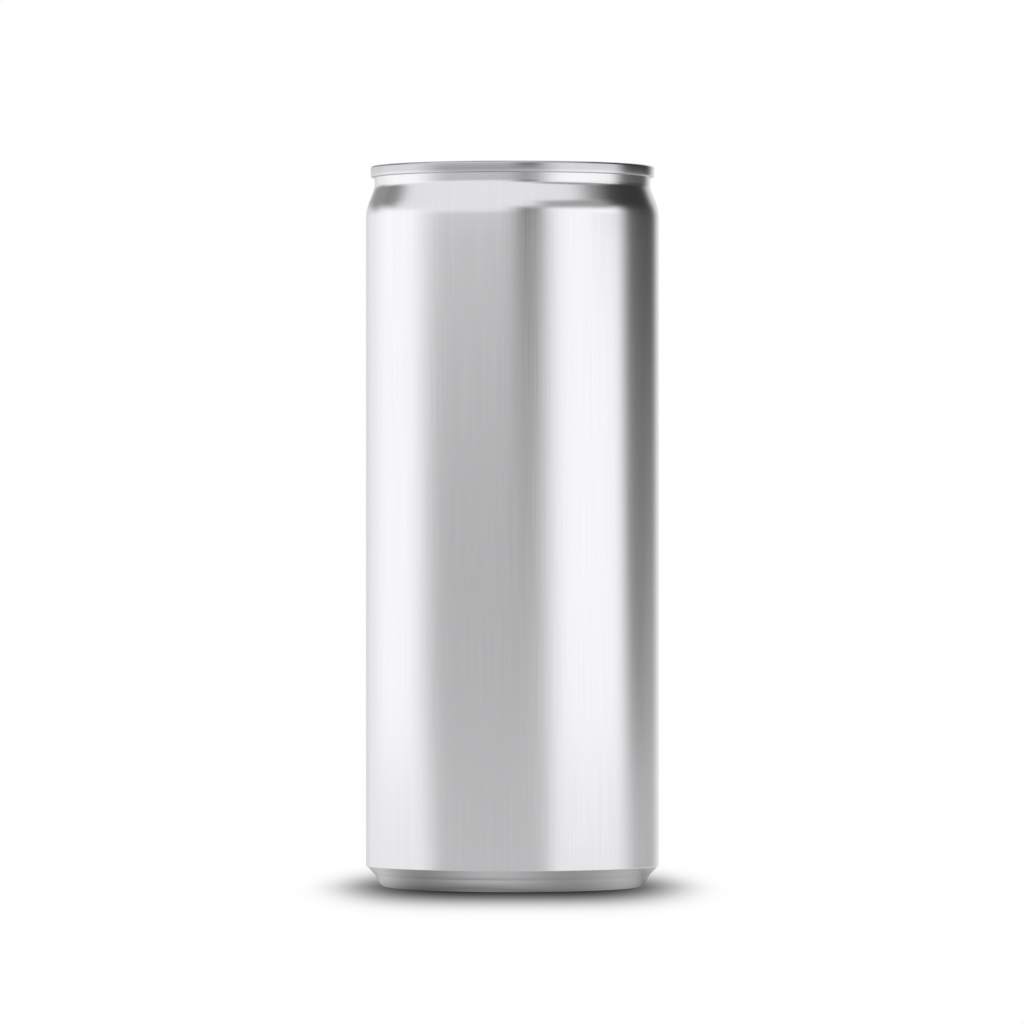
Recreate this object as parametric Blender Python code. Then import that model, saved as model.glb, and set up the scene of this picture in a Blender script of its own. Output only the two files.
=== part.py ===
"""Slim aluminium drinks can with a stay-on tab.

Units are metres. Z is up, the standing ring rests on z = 0 and the can's axis is the Z axis.
The pour side of the lid faces -Y and the finger end of the tab faces +Y.
"""

import math

import bmesh
import bpy
from mathutils import Matrix, Vector

MM = 0.001

# Mesh quality
SEGMENTS = 48
CHORD_ERROR = 0.02 * MM
WELD = 0.001 * MM
STRAIGHT = 1e-6
CUTTER_REACH = 3.0 * MM

# Can body
BODY_DIAMETER = 53.0 * MM
CAN_HEIGHT = 130.2 * MM
BASE_GAUGE = 0.25 * MM
WALL_GAUGE = 0.10 * MM
NECK_GAUGE = 0.14 * MM

# Base of the body, with radial runs measured in from the wall
BASE_CORNER_HEIGHT = 3.8 * MM
BASE_CORNER_ROUND = 0.3 * MM
KNEE_RUN = 1.6 * MM
KNEE_HEIGHT = 2.15 * MM
KNEE_ROUND = 0.5 * MM
HEEL_RUN = 2.8 * MM
HEEL_ROUND = 1.0 * MM
RING_INNER_RUN = 4.6 * MM
RING_INNER_ROUND = 0.7 * MM
DOME_EDGE_RUN = 5.5 * MM
DOME_EDGE_HEIGHT = 2.4 * MM
DOME_HEIGHT = 9.6 * MM
DOME_STEPS = 5
THICK_BASE_HEIGHT = 9.0 * MM

# Shoulder and neck, with depths measured down from the top of the can
NECK_IN = 1.5 * MM
SHOULDER_DEPTH = 7.95 * MM
SHOULDER_ROUND = 8.5 * MM
THROAT_DEPTH = 3.8 * MM
THROAT_ROUND = 2.5 * MM
THIN_WALL_DEPTH = 14.0 * MM

# Double seam that joins the body to the end
END_GAUGE = 0.20 * MM
SEAM_CLEARANCE = 0.05 * MM
SEAM_HEIGHT = 2.05 * MM
SEAM_TOP_ROUND = 0.4 * MM
COMPOUND_SPACE = 0.3 * MM
HOOK_END_GAP = 0.2 * MM

# Dished panel of the end
COUNTERSINK_DEPTH = 6.4 * MM
COUNTERSINK_WIDTH = 1.2 * MM
COUNTERSINK_ROUND = 0.45 * MM
CHUCK_WALL_STRAIGHT = 2.6 * MM
CHUCK_WALL_RUN = 1.2 * MM
PANEL_DEPTH = 4.2 * MM
PANEL_WALL_RUN = 0.3 * MM
PANEL_EDGE_ROUND = 0.5 * MM

# Rivet drawn up out of the panel
RIVET_PAD_RADIUS = 2.35 * MM
RIVET_PAD_SLOPE = 0.4 * MM
RIVET_PAD_RISE = 0.3 * MM
RIVET_STEM_RADIUS = 1.6 * MM
RIVET_WALL = 0.3 * MM
RIVET_HEAD_RADIUS = 2.7 * MM
RIVET_HEAD_HEIGHT = 0.44 * MM
RIVET_HEAD_ROUND = 0.3 * MM
RIVET_CLEARANCE = 0.08 * MM

# Pour opening and the tear panel that fills it
OPENING_WIDTH = 22.0 * MM
OPENING_REAR_WIDTH = 12.6 * MM
OPENING_REAR = 3.0 * MM
OPENING_FRONT_FLAT = 4.6 * MM
OPENING_EDGE_MARGIN = 3.3 * MM
OPENING_SIDE_LENGTH = 2.21 * MM
OPENING_SIDE_ROUND = 3.0 * MM
OPENING_HINGE_ROUND = 0.6 * MM
SCORE_GAP = 0.2 * MM

# Tab
TAB_GAUGE = 0.25 * MM
TAB_NOSE_REACH = 7.0 * MM
TAB_HEEL_REACH = 16.6 * MM
TAB_NOSE_RADIUS = 7.2 * MM
TAB_HEEL_RADIUS = 6.7 * MM
TAB_ARC_STEPS = 16
CURL_RADIUS = 0.6 * MM
CURL_CLEARANCE = 0.12 * MM
CURL_STEPS = 9
TAB_HINGE_REACH = 3.6 * MM

# Finger hole in the tab
FINGER_HOLE_WIDTH = 9.0 * MM
FINGER_HOLE_LENGTH = 6.2 * MM
FINGER_HOLE_Y = 10.4 * MM
FINGER_CURL_RADIUS = 0.45 * MM
FINGER_CURL_STEPS = 8
FINGER_ARC_STEPS = 10

# Tongue that the rivet holds
TONGUE_WIDTH = 7.0 * MM
TONGUE_REAR = 4.0 * MM
TONGUE_ARC_STEPS = 10
TONGUE_GAP = 0.4 * MM

# Colours and gloss
WALL_COLOUR = (0.80, 0.80, 0.80)
WALL_ROUGHNESS = 0.32
LID_COLOUR = (0.78, 0.78, 0.79)
LID_ROUGHNESS = 0.28
TAB_COLOUR = (0.80, 0.80, 0.81)
TAB_ROUGHNESS = 0.24
COMPOUND_COLOUR = (0.35, 0.36, 0.36)
COMPOUND_ROUGHNESS = 0.8

# Sizes that follow from the ones above
BODY_RADIUS = BODY_DIAMETER / 2
NECK_RADIUS = BODY_RADIUS - NECK_IN
COVER_HOOK_INNER = NECK_RADIUS + SEAM_CLEARANCE
BODY_HOOK_INNER = COVER_HOOK_INNER + END_GAUGE + SEAM_CLEARANCE
SEAM_WALL_INNER = BODY_HOOK_INNER + NECK_GAUGE + SEAM_CLEARANCE
SEAM_RADIUS = SEAM_WALL_INNER + END_GAUGE
CHUCK_WALL_OUTER = NECK_RADIUS - NECK_GAUGE - SEAM_CLEARANCE
CHUCK_WALL_RADIUS = CHUCK_WALL_OUTER - END_GAUGE
BODY_HOOK_TOP = CAN_HEIGHT - END_GAUGE - COMPOUND_SPACE
SEAM_BOTTOM = CAN_HEIGHT - SEAM_HEIGHT
COUNTERSINK_OUTER = CHUCK_WALL_RADIUS - CHUCK_WALL_RUN
COUNTERSINK_INNER = COUNTERSINK_OUTER - COUNTERSINK_WIDTH
PANEL_RADIUS = COUNTERSINK_INNER - PANEL_WALL_RUN
PANEL_TOP = CAN_HEIGHT - PANEL_DEPTH
RIVET_PAD_TOP = PANEL_TOP + RIVET_PAD_RISE
WEB_BOTTOM = RIVET_PAD_TOP + RIVET_CLEARANCE
WEB_TOP = WEB_BOTTOM + TAB_GAUGE
RIVET_HEAD_BOTTOM = WEB_TOP + RIVET_CLEARANCE
RIVET_HEAD_TOP = RIVET_HEAD_BOTTOM + RIVET_HEAD_HEIGHT
CURL_MIDDLE = PANEL_TOP + CURL_CLEARANCE + CURL_RADIUS
TAB_HINGE = Vector((0.0, -TAB_HINGE_REACH, (WEB_BOTTOM + WEB_TOP) / 2))
OPENING_FRONT = PANEL_RADIUS - OPENING_EDGE_MARGIN
OPENING_FRONT_ROUND = (OPENING_WIDTH - OPENING_FRONT_FLAT) / 2
OPENING_SHOULDER = OPENING_FRONT - OPENING_FRONT_ROUND - OPENING_SIDE_LENGTH
TEAR_HINGE = Vector(
    (
        -(OPENING_REAR_WIDTH + OPENING_WIDTH) / 4,
        -(OPENING_REAR + OPENING_SHOULDER) / 2,
        PANEL_TOP - END_GAUGE / 2,
    )
)


def clear_scene():
    for old in list(bpy.data.objects):
        bpy.data.objects.remove(old, do_unlink=True)


def plain(name, colour, roughness, metallic):
    """A material of one colour and one gloss."""
    material = bpy.data.materials.new(name)
    material.use_nodes = True
    shader = material.node_tree.nodes["Principled BSDF"]
    shader.inputs["Base Color"].default_value = (*colour, 1.0)
    shader.inputs["Metallic"].default_value = metallic
    shader.inputs["Roughness"].default_value = roughness
    return material


def wall_metal():
    return plain("can_wall", WALL_COLOUR, WALL_ROUGHNESS, 1.0)


def lid_metal(name):
    return plain(name, LID_COLOUR, LID_ROUGHNESS, 1.0)


def tab_metal(name):
    return plain(name, TAB_COLOUR, TAB_ROUGHNESS, 1.0)


def compound():
    return plain("compound", COMPOUND_COLOUR, COMPOUND_ROUGHNESS, 0.0)


def corner_arc(before, corner, after, radius):
    """Points that round one corner of a path with an arc of the given radius."""
    arriving = (corner - before).normalized()
    leaving = (after - corner).normalized()
    turn = math.atan2(arriving.cross(leaving), arriving.dot(leaving))
    if radius <= 0 or abs(turn) < STRAIGHT:
        return [corner]
    tangent_length = radius * math.tan(abs(turn) / 2)
    start = corner - arriving * tangent_length
    side = math.copysign(1.0, turn)
    centre = start + Vector((-arriving.y, arriving.x)) * radius * side
    widest_step = 2 * math.acos(max(0.0, 1 - CHORD_ERROR / radius))
    steps = max(2, math.ceil(abs(turn) / widest_step))
    spoke = start - centre
    return [centre + Matrix.Rotation(turn * i / steps, 2) @ spoke for i in range(steps + 1)]


def apart(points):
    """The points without those that fall on the one before, as where two arcs meet."""
    kept = points[:1]
    for point in points[1:]:
        if (point - kept[-1]).length > WELD:
            kept.append(point)
    return kept


def rounded_path(corners):
    """An open path through (radius, height, rounding) corners. Its two ends stay sharp."""
    spots = [Vector(corner[:2]) for corner in corners]
    points = [spots[0]]
    for i in range(1, len(corners) - 1):
        points += corner_arc(spots[i - 1], spots[i], spots[i + 1], corners[i][2])
    return apart(points + [spots[-1]])


def rounded_loop(corners):
    """A closed loop through (x, y, rounding) corners."""
    spots = [Vector(corner[:2]) for corner in corners]
    points = []
    for i, corner in enumerate(corners):
        after = spots[(i + 1) % len(spots)]
        points += corner_arc(spots[i - 1], spots[i], after, corner[2])
    return apart(points)


def moved_left(before, point, after, distance):
    """The point moved to the left of its path, so that both neighbouring sides move by the distance."""
    sides = [side.normalized() for side in (point - before, after - point) if side.length > 0]
    normals = [Vector((-side.y, side.x)) for side in sides]
    mean = sum(normals, Vector((0.0, 0.0))).normalized()
    return point + mean * distance / mean.dot(normals[0])


def path_left(points, distances):
    """An open path moved to its left, by its own distance at each point."""
    last = len(points) - 1
    return [
        moved_left(points[max(i - 1, 0)], point, points[min(i + 1, last)], distances[i])
        for i, point in enumerate(points)
    ]


def loop_left(points, distance):
    """A closed loop moved to its left. A loop that runs counterclockwise shrinks."""
    count = len(points)
    return [
        moved_left(points[i - 1], point, points[(i + 1) % count], distance)
        for i, point in enumerate(points)
    ]


def finished(name, bm, material):
    """An object from the mesh, welded, facing out and shaded smooth."""
    bmesh.ops.remove_doubles(bm, verts=bm.verts, dist=WELD)
    bmesh.ops.recalc_face_normals(bm, faces=bm.faces)
    if bm.calc_volume(signed=True) < 0:
        bmesh.ops.reverse_faces(bm, faces=bm.faces)
    mesh = bpy.data.meshes.new(name)
    bm.to_mesh(mesh)
    bm.free()
    mesh.shade_smooth()
    made = bpy.data.objects.new(name, mesh)
    bpy.context.scene.collection.objects.link(made)
    if material:
        made.data.materials.append(material)
    return made


def turned(name, outline, closed, material):
    """The (radius, height) outline spun round the can's axis."""
    bm = bmesh.new()
    points = [bm.verts.new((max(point.x, 0.0), 0.0, point.y)) for point in outline]
    edges = [bm.edges.new(pair) for pair in zip(points, points[1:])]
    if closed:
        edges.append(bm.edges.new((points[-1], points[0])))
    bmesh.ops.spin(
        bm,
        geom=points + edges,
        cent=(0.0, 0.0, 0.0),
        axis=(0.0, 0.0, 1.0),
        angle=math.tau,
        steps=SEGMENTS,
        use_merge=True,
    )
    return finished(name, bm, material)


def plate(name, outline, bottom, top, material=None):
    """A flat plate with the (x, y) outline between two heights."""
    bm = bmesh.new()
    rim = [bm.verts.new((point.x, point.y, bottom)) for point in outline]
    face = bm.faces.new(rim)
    raised = bmesh.ops.extrude_face_region(bm, geom=[face])
    lifted = [item for item in raised["geom"] if isinstance(item, bmesh.types.BMVert)]
    bmesh.ops.translate(bm, verts=lifted, vec=(0.0, 0.0, top - bottom))
    return finished(name, bm, material)


def skinned(bm, loops, closed):
    """Walls between neighbouring loops of points. The ends are closed with flat faces, or joined."""
    rings = [[bm.verts.new(point) for point in loop] for loop in loops]
    pairs = list(zip(rings, rings[1:]))
    if closed:
        pairs.append((rings[-1], rings[0]))
    for one, other in pairs:
        for i in range(len(one)):
            bm.faces.new((one[i - 1], one[i], other[i], other[i - 1]))
    if not closed:
        bm.faces.new(rings[0])
        bm.faces.new(rings[-1])


def helper(made):
    """Marks an object as a cutter or a piece that another one takes in."""
    made.hide_render = True
    made.display_type = "WIRE"
    return made


def combine(target, other, operation):
    change = target.modifiers.new(other.name, "BOOLEAN")
    change.operation = operation
    change.solver = "EXACT"
    change.object = helper(other)


def put_origin(made, point):
    """Moves the object's origin to a point on its joint axis and leaves its shape in place."""
    made.data.transform(Matrix.Translation(-point))
    made.location = point


# Can body


def base_path():
    """Outer face of the base, from the middle of the dome out to the foot of the wall."""
    edge_radius = BODY_RADIUS - DOME_EDGE_RUN
    rise = DOME_HEIGHT - DOME_EDGE_HEIGHT
    dome_radius = (edge_radius**2 + rise**2) / (2 * rise)
    widest = math.asin(edge_radius / dome_radius)
    dome = [
        Vector(
            (
                dome_radius * math.sin(widest * i / DOME_STEPS),
                DOME_HEIGHT - dome_radius * (1 - math.cos(widest * i / DOME_STEPS)),
            )
        )
        for i in range(DOME_STEPS)
    ]
    ring = rounded_path(
        [
            (edge_radius, DOME_EDGE_HEIGHT, 0.0),
            (BODY_RADIUS - RING_INNER_RUN, 0.0, RING_INNER_ROUND),
            (BODY_RADIUS - HEEL_RUN, 0.0, HEEL_ROUND),
            (BODY_RADIUS - KNEE_RUN, KNEE_HEIGHT, KNEE_ROUND),
            (BODY_RADIUS, BASE_CORNER_HEIGHT, BASE_CORNER_ROUND),
            (BODY_RADIUS, THICK_BASE_HEIGHT, 0.0),
        ]
    )
    return dome + ring


def neck_path():
    """Outer face of the neck, from the top of the wall to the tip of the hook inside the seam."""
    bend = (BODY_HOOK_INNER - NECK_RADIUS) / 2
    bend_top = BODY_HOOK_TOP - NECK_GAUGE
    return rounded_path(
        [
            (BODY_RADIUS, CAN_HEIGHT - THIN_WALL_DEPTH, 0.0),
            (BODY_RADIUS, CAN_HEIGHT - SHOULDER_DEPTH, SHOULDER_ROUND),
            (NECK_RADIUS, CAN_HEIGHT - THROAT_DEPTH, THROAT_ROUND),
            (NECK_RADIUS, bend_top, bend),
            (BODY_HOOK_INNER, bend_top, bend),
            (BODY_HOOK_INNER, SEAM_BOTTOM + END_GAUGE + HOOK_END_GAP, 0.0),
        ]
    )


def can_body():
    """The drawn shell: domed base, thin wall and neck in one sheet whose gauge changes on the way up."""
    base = base_path()
    neck = neck_path()
    gauges = [BASE_GAUGE] * (len(base) - 1) + [WALL_GAUGE] * 2 + [NECK_GAUGE] * (len(neck) - 1)
    outside = base + neck
    inside = path_left(outside, gauges)
    inside[0] = outside[0] + Vector((0.0, BASE_GAUGE))
    return turned("can_body", outside + inside[::-1], False, wall_metal())


# Can end


def end_path():
    """Upper face of the end, from the tip of its hook over the seam and the countersink to the panel."""
    seam_bend = (SEAM_RADIUS - COVER_HOOK_INNER) / 2
    hook_top = BODY_HOOK_TOP - NECK_GAUGE - HOOK_END_GAP
    countersink = CAN_HEIGHT - COUNTERSINK_DEPTH
    return rounded_path(
        [
            (COVER_HOOK_INNER, hook_top, 0.0),
            (COVER_HOOK_INNER, SEAM_BOTTOM, seam_bend),
            (SEAM_RADIUS, SEAM_BOTTOM, seam_bend),
            (SEAM_RADIUS, CAN_HEIGHT, SEAM_TOP_ROUND),
            (CHUCK_WALL_RADIUS, CAN_HEIGHT, SEAM_TOP_ROUND),
            (CHUCK_WALL_RADIUS, CAN_HEIGHT - CHUCK_WALL_STRAIGHT, 0.0),
            (COUNTERSINK_OUTER, countersink, COUNTERSINK_ROUND),
            (COUNTERSINK_INNER, countersink, COUNTERSINK_ROUND),
            (PANEL_RADIUS, PANEL_TOP, PANEL_EDGE_ROUND),
            (RIVET_PAD_RADIUS + RIVET_PAD_SLOPE, PANEL_TOP, 0.0),
            (RIVET_PAD_RADIUS, RIVET_PAD_TOP, 0.0),
            (RIVET_STEM_RADIUS, RIVET_PAD_TOP, 0.0),
        ]
    )


def rivet_top():
    """Outside of the rivet from its stem to the middle of its head."""
    return rounded_path(
        [
            (RIVET_STEM_RADIUS, RIVET_HEAD_BOTTOM, 0.0),
            (RIVET_HEAD_RADIUS, RIVET_HEAD_BOTTOM, 0.0),
            (RIVET_HEAD_RADIUS, RIVET_HEAD_TOP, RIVET_HEAD_ROUND),
            (0.0, RIVET_HEAD_TOP, 0.0),
        ]
    )


def rivet_hollow():
    """Inside of the rivet, from the middle of its roof down to the underside of the pad."""
    bore = RIVET_STEM_RADIUS - RIVET_WALL
    roof = RIVET_HEAD_TOP - RIVET_WALL
    return [
        Vector((0.0, roof)),
        Vector((bore, roof)),
        Vector((bore, RIVET_PAD_TOP - END_GAUGE)),
    ]


def opening_outline():
    """Edge of the pour opening, counterclockwise from its left rear corner."""
    half_width = OPENING_WIDTH / 2
    half_rear = OPENING_REAR_WIDTH / 2
    return rounded_loop(
        [
            (-half_rear, -OPENING_REAR, OPENING_HINGE_ROUND),
            (-half_width, -OPENING_SHOULDER, OPENING_HINGE_ROUND),
            (-half_width, -OPENING_FRONT, OPENING_FRONT_ROUND),
            (half_width, -OPENING_FRONT, OPENING_FRONT_ROUND),
            (half_width, -OPENING_SHOULDER, OPENING_SIDE_ROUND),
            (half_rear, -OPENING_REAR, OPENING_SIDE_ROUND),
        ]
    )


def can_end():
    """The lid: seaming hook, countersink, panel with the pour opening, and the rivet drawn from it."""
    upper = end_path()
    lower = path_left(upper, [END_GAUGE] * len(upper))[:-1]
    outline = rivet_hollow() + lower[::-1] + upper + rivet_top()
    made = turned("can_end", outline, False, lid_metal("end_metal"))
    below = PANEL_TOP - CUTTER_REACH
    above = PANEL_TOP + CUTTER_REACH
    combine(made, plate("opening_cutter", opening_outline(), below, above), "DIFFERENCE")
    return made


def seam_compound():
    """The sealing ring between the top of the body's hook and the roof of the seam."""
    inner = CHUCK_WALL_OUTER + SEAM_CLEARANCE
    outer = SEAM_WALL_INNER - SEAM_CLEARANCE
    bottom = BODY_HOOK_TOP + SEAM_CLEARANCE
    top = CAN_HEIGHT - END_GAUGE - SEAM_CLEARANCE
    round_over = SEAM_TOP_ROUND - END_GAUGE - SEAM_CLEARANCE
    outline = rounded_loop(
        [
            (outer, bottom, 0.0),
            (outer, top, round_over),
            (inner, top, round_over),
            (inner, bottom, 0.0),
        ]
    )
    return turned("seam_compound", outline, True, compound())


def tear_panel():
    """The scored flap that swings down into the can. Its hinge is the left rear edge of the opening."""
    outline = loop_left(opening_outline(), SCORE_GAP)
    made = plate("tear_panel", outline, PANEL_TOP - END_GAUGE, PANEL_TOP, lid_metal("tear_metal"))
    put_origin(made, TEAR_HINGE)
    return made


# Tab


def tab_loop(inset, height):
    """The tab's edge at one height, drawn in by the inset: a round nose and heel joined by tangents."""
    nose_y = TAB_NOSE_RADIUS - TAB_NOSE_REACH
    heel_y = TAB_HEEL_REACH - TAB_HEEL_RADIUS
    lean = math.asin((TAB_NOSE_RADIUS - TAB_HEEL_RADIUS) / (heel_y - nose_y))
    loop = []
    for centre, radius, start, sweep in (
        (nose_y, TAB_NOSE_RADIUS - inset, math.pi - lean, math.pi + 2 * lean),
        (heel_y, TAB_HEEL_RADIUS - inset, lean, math.pi - 2 * lean),
    ):
        for i in range(TAB_ARC_STEPS + 1):
            angle = start + sweep * i / TAB_ARC_STEPS
            loop.append((radius * math.cos(angle), centre + radius * math.sin(angle), height))
    return loop


def tab_blank():
    """The tab before its holes: a web inside a curled rim."""
    top_angle = math.pi - math.asin((WEB_TOP - CURL_MIDDLE) / CURL_RADIUS)
    bottom_angle = math.asin((CURL_MIDDLE - WEB_BOTTOM) / CURL_RADIUS) - math.pi
    loops = []
    for i in range(CURL_STEPS + 1):
        angle = top_angle + (bottom_angle - top_angle) * i / CURL_STEPS
        inset = CURL_RADIUS * (1 - math.cos(angle))
        loops.append(tab_loop(inset, CURL_MIDDLE + CURL_RADIUS * math.sin(angle)))
    bm = bmesh.new()
    skinned(bm, loops, False)
    return finished("pull_tab", bm, tab_metal("tab_metal"))


def finger_outline(outset):
    """The finger hole's edge, moved out by the outset: two half circles side by side."""
    radius = FINGER_HOLE_LENGTH / 2 + outset
    reach = (FINGER_HOLE_WIDTH - FINGER_HOLE_LENGTH) / 2
    points = []
    for side, start in ((reach, -math.pi / 2), (-reach, math.pi / 2)):
        for i in range(FINGER_ARC_STEPS + 1):
            angle = start + math.pi * i / FINGER_ARC_STEPS
            spoke = Vector((math.cos(angle), math.sin(angle))) * radius
            points.append(Vector((side, FINGER_HOLE_Y)) + spoke)
    return points


def finger_curl():
    """The curled edge round the finger hole."""
    middle = (WEB_BOTTOM + WEB_TOP) / 2
    loops = []
    for i in range(FINGER_CURL_STEPS):
        angle = math.tau * i / FINGER_CURL_STEPS
        outset = FINGER_CURL_RADIUS * (1 - math.cos(angle))
        height = middle + FINGER_CURL_RADIUS * math.sin(angle)
        loops.append([(point.x, point.y, height) for point in finger_outline(outset)])
    bm = bmesh.new()
    skinned(bm, loops, True)
    return finished("finger_curl", bm, None)


def tongue_outline(outset, front):
    """Edge of the tongue, or of the slot round it: straight at the hinge and round behind the rivet."""
    half_width = TONGUE_WIDTH / 2 + outset
    arc_y = TONGUE_REAR - TONGUE_WIDTH / 2
    points = [Vector((-half_width, front)), Vector((half_width, front))]
    for i in range(TONGUE_ARC_STEPS + 1):
        angle = math.pi * i / TONGUE_ARC_STEPS
        points.append(Vector((half_width * math.cos(angle), arc_y + half_width * math.sin(angle))))
    return points


def pull_tab():
    """The lever. It turns about a line across its web in front of the rivet."""
    made = tab_blank()
    below = WEB_BOTTOM - CUTTER_REACH
    above = WEB_TOP + CUTTER_REACH
    hole_outline = finger_outline(FINGER_CURL_RADIUS)
    combine(made, plate("finger_cutter", hole_outline, below, above), "DIFFERENCE")
    combine(made, finger_curl(), "UNION")
    slot_outline = tongue_outline(TONGUE_GAP, TAB_HINGE.y - TONGUE_GAP / 2)
    combine(made, plate("slot_cutter", slot_outline, below, above), "DIFFERENCE")
    put_origin(made, TAB_HINGE)
    return made


def tab_tongue():
    """The part of the tab's sheet that the rivet holds down and that stays flat when the tab lifts."""
    outline = tongue_outline(0.0, TAB_HINGE.y + TONGUE_GAP / 2)
    made = plate("tab_tongue", outline, WEB_BOTTOM, WEB_TOP, tab_metal("tongue_metal"))
    bore = RIVET_STEM_RADIUS + RIVET_CLEARANCE
    angles = [math.tau * i / SEGMENTS for i in range(SEGMENTS)]
    circle = [Vector((bore * math.cos(angle), bore * math.sin(angle))) for angle in angles]
    below = WEB_BOTTOM - CUTTER_REACH
    above = WEB_TOP + CUTTER_REACH
    combine(made, plate("rivet_bore", circle, below, above), "DIFFERENCE")
    return made


clear_scene()
can_body()
can_end()
seam_compound()
tear_panel()
pull_tab()
tab_tongue()
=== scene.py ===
"""Looks of the slim drinks can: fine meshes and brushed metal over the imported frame, in a white studio.

Units are metres. Z is up, the can's axis is the Z axis, and the camera looks along +Y at the pour side.
"""

import math
from typing import NamedTuple

import bmesh
import bpy
from mathutils import Matrix, Vector


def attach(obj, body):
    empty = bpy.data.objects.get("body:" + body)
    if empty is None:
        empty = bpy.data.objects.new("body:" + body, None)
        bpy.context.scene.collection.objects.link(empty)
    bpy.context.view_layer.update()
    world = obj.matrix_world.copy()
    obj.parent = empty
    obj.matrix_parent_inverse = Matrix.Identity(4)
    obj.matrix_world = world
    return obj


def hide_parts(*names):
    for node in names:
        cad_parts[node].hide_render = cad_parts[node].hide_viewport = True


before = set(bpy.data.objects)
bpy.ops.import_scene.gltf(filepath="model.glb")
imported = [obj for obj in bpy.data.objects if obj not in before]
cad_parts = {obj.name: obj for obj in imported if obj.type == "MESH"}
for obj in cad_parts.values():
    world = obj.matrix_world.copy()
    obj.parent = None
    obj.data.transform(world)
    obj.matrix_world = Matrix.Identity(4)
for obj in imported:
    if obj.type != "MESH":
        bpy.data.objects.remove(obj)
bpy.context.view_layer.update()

MM = 0.001

# Mesh quality
SEGMENTS = 192
CHORD_ERROR = 0.003 * MM
WELD = 0.0005 * MM
ON_AXIS = 0.0001 * MM
STRAIGHT = math.radians(0.0001)
LEAST_ARC_STEPS = 4
SHARP_ANGLE = math.radians(40)
CUTTER_REACH = 3.0 * MM

# Can body
BODY_RADIUS = 26.5 * MM
CAN_HEIGHT = 130.2 * MM
BASE_GAUGE = 0.25 * MM
WALL_GAUGE = 0.10 * MM
NECK_GAUGE = 0.14 * MM
BASE_CORNER_HEIGHT = 3.8 * MM
BASE_CORNER_ROUND = 0.3 * MM
KNEE_RUN = 1.6 * MM
KNEE_HEIGHT = 2.15 * MM
KNEE_ROUND = 1.2 * MM
HEEL_RUN = 2.8 * MM
HEEL_ROUND = 1.4 * MM
RING_INNER_RUN = 4.6 * MM
RING_INNER_ROUND = 0.7 * MM
DOME_EDGE_RUN = 5.5 * MM
DOME_EDGE_HEIGHT = 2.4 * MM
DOME_HEIGHT = 9.6 * MM
DOME_STEPS = 48
THICK_BASE_HEIGHT = 9.0 * MM
NECK_RADIUS = 25.0 * MM
THROAT_RADIUS = 24.90 * MM
SHOULDER_DEPTH = 7.95 * MM
SHOULDER_ROUND = 8.5 * MM
THROAT_DEPTH = 3.8 * MM
THROAT_ROUND = 2.5 * MM
THIN_WALL_DEPTH = 14.0 * MM

# Seam and lid
END_GAUGE = 0.20 * MM
SEAM_CLEARANCE = 0.05 * MM
SEAM_HEIGHT = 2.05 * MM
SEAM_TOP_ROUND = 0.4 * MM
SEAM_TAPER = 0.10 * MM
# Heights of the painted shadow at the seam's foot and of the painted highlight just above it
SEAM_SHADOW_HEIGHT = 0.22 * MM
SEAM_HIGHLIGHT_HEIGHT = 0.8 * MM
COMPOUND_SPACE = 0.3 * MM
HOOK_END_GAP = 0.2 * MM
COUNTERSINK_DEPTH = 6.4 * MM
COUNTERSINK_WIDTH = 1.2 * MM
COUNTERSINK_ROUND = 0.45 * MM
CHUCK_WALL_STRAIGHT = 2.6 * MM
CHUCK_WALL_ROUND = 2.0 * MM
CHUCK_WALL_RUN = 1.2 * MM
PANEL_DEPTH = 4.2 * MM
PANEL_WALL_RUN = 0.3 * MM
PANEL_EDGE_ROUND = 0.5 * MM
PANEL_RING_STEP = 0.3 * MM

# Relief pressed into the lid's panel
DEBOSS_DEPTH = 0.28 * MM
DEBOSS_HALF_WIDTH = 14.6 * MM
DEBOSS_HALF_LENGTH = 19.0 * MM
DEBOSS_EDGE = 0.9 * MM
WELL_DEPTH = 0.55 * MM
WELL_Y = 15.6 * MM
WELL_HALF_WIDTH = 6.6 * MM
WELL_HALF_LENGTH = 3.4 * MM
WELL_EDGE = 1.6 * MM
FLAP_BEAD_HEIGHT = 0.2 * MM
FLAP_BEAD_Y = -11.6 * MM
FLAP_BEAD_HALF_WIDTH = 7.4 * MM
FLAP_BEAD_HALF_LENGTH = 3.6 * MM
FLAP_BEAD_WIDTH = 0.9 * MM
PAD_FADE = 1.2 * MM
FLAP_HINGE_HALF_LENGTH = 4.2 * MM
FLAP_HINGE_HALF_WIDTH = 1.4 * MM
FLAP_HINGE_FADE = 1.8

# Rivet
RIVET_PAD_RADIUS = 2.35 * MM
RIVET_PAD_SLOPE = 0.4 * MM
RIVET_PAD_RISE = 0.3 * MM
RIVET_STEM_RADIUS = 1.6 * MM
RIVET_WALL = 0.3 * MM
RIVET_HEAD_RADIUS = 2.7 * MM
RIVET_HEAD_HEIGHT = 0.44 * MM
RIVET_HEAD_ROUND = 0.2 * MM
RIVET_DIMPLE_RADIUS = 1.5 * MM
RIVET_DIMPLE_DEPTH = 0.14 * MM
RIVET_CLEARANCE = 0.08 * MM

# Pour opening
OPENING_WIDTH = 22.0 * MM
OPENING_REAR_WIDTH = 12.6 * MM
OPENING_REAR = 3.0 * MM
OPENING_FRONT_FLAT = 4.6 * MM
OPENING_EDGE_MARGIN = 3.3 * MM
OPENING_SIDE_LENGTH = 2.21 * MM
OPENING_SIDE_ROUND = 3.0 * MM
OPENING_HINGE_ROUND = 0.6 * MM
SCORE_GAP = 0.2 * MM

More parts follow.
